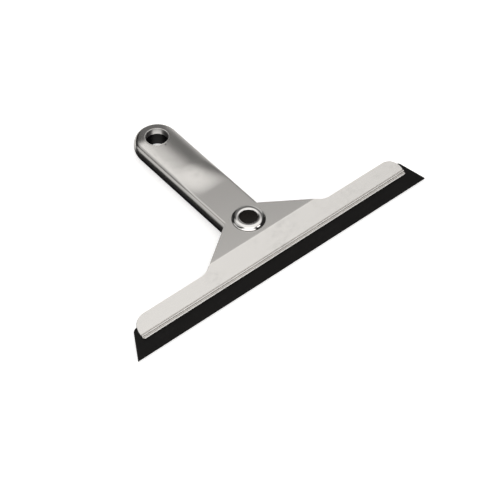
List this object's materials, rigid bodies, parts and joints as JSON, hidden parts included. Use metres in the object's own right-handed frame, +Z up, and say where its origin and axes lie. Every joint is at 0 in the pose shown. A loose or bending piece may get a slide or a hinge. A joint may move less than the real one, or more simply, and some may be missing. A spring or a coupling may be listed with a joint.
{
  "type": "window cleaning squeegee",
  "caption": "Flat window squeegee: bent steel T-head with a polished joint ring and a clamped rubber wiping blade, on a slim crowned metal grip with a hanging hole.",
  "frame": {"origin": "on the table plane, below the middle of the whole part's bounding box", "axes": "+X along the wiping blade, +Y from the head towards the hanging hole, +Z up from the table, out of the grip's top face"},
  "size_m": [0.3, 0.1862, 0.0209],
  "materials": {
    "sheet_steel": "satin pressed stainless sheet, fine grain along the bar",
    "grip_metal": "die-cast shell, satin plated",
    "polished": "polished plated ring and eyelet",
    "black_moulding": "moulded black, fine texture",
    "black_cap": "moulded black, semi-gloss",
    "blade_rubber": "black wiping rubber",
    "gasket_fibre": "black washer",
    "fastener_steel": "plated steel",
    "insert_brass": "turned brass"
  },
  "bodies": {
    "squeegee": {"head_plate": "sheet_steel", "spacer_bar": "fastener_steel", "clamp_plate": "sheet_steel", "clamp_screw_1": "fastener_steel", "clamp_screw_2": "fastener_steel", "clamp_screw_3": "fastener_steel", "clamp_screw_4": "fastener_steel", "clamp_screw_5": "fastener_steel", "grip_shell": "grip_metal", "grip_back": "black_moulding", "back_screw_1": "fastener_steel", "back_screw_2": "fastener_steel", "back_screw_3": "fastener_steel", "hang_eyelet": "polished", "ring_gasket": "gasket_fibre", "joint_ring": "polished", "ring_cap": "black_cap", "main_screw": "fastener_steel", "spring_washer": "fastener_steel", "thread_insert": "insert_brass", "locating_pin_1": "fastener_steel", "locating_pin_2": "fastener_steel"},
    "blade": {"blade_root": "blade_rubber"},
    "wiping_lip": {"blade_lip": "blade_rubber"}
  },
  "joints": [
    {"name": "blade_slide", "type": "slide", "parent": "squeegee", "child": "blade", "axis": [1, 0, 0], "range_m": [0, 0.29]},
    {"name": "lip_flex", "type": "hinge", "parent": "blade", "child": "wiping_lip", "pos_m": [0, -0.08305, 0.00553], "axis": [1, 0, 0], "range_deg": [-45, 45], "stiffness_Nm_per_rad": 0.2}
  ]
}
